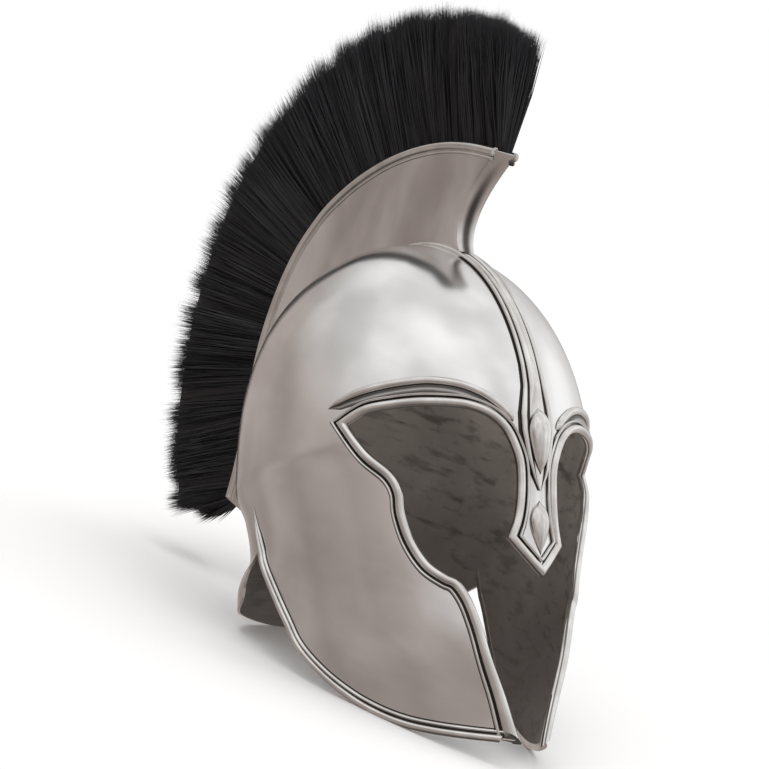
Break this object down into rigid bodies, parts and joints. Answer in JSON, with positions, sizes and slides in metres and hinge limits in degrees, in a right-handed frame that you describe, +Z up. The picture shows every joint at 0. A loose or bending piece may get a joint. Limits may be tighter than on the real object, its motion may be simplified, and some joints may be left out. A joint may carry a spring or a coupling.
{
  "type": "crested steel helmet",
  "caption": "Hollow polished-steel helmet of the old Greek kind with cheek pieces, nasal, neck guard, beaded edge trims and a sheet crest holding a dark brush plume.",
  "frame": {"origin": "middle of the bounding box's bottom face, on the table that the helmet stands on", "axes": "+Z up, -Y the way the face looks, +X to the wearer's left"},
  "size_m": [0.2116, 0.4762, 0.4151],
  "materials": {
    "polished_steel": "polished",
    "beaded_steel": "gloss",
    "crest_steel": "gloss",
    "hair": "matte"
  },
  "bodies": {
    "root": {"shell": "polished_steel", "face_trim_left": "beaded_steel", "face_trim_right": "beaded_steel", "lower_trim_left": "beaded_steel", "lower_trim_right": "beaded_steel", "brow_ridge_left": "beaded_steel", "brow_ridge_right": "beaded_steel", "crest_trim_left": "beaded_steel", "crest_trim_right": "beaded_steel", "centre_ridge": "beaded_steel", "forehead_boss": "beaded_steel", "nasal_boss": "beaded_steel", "crest_holder": "crest_steel", "plume": "hair"}
  },
  "joints": []
}
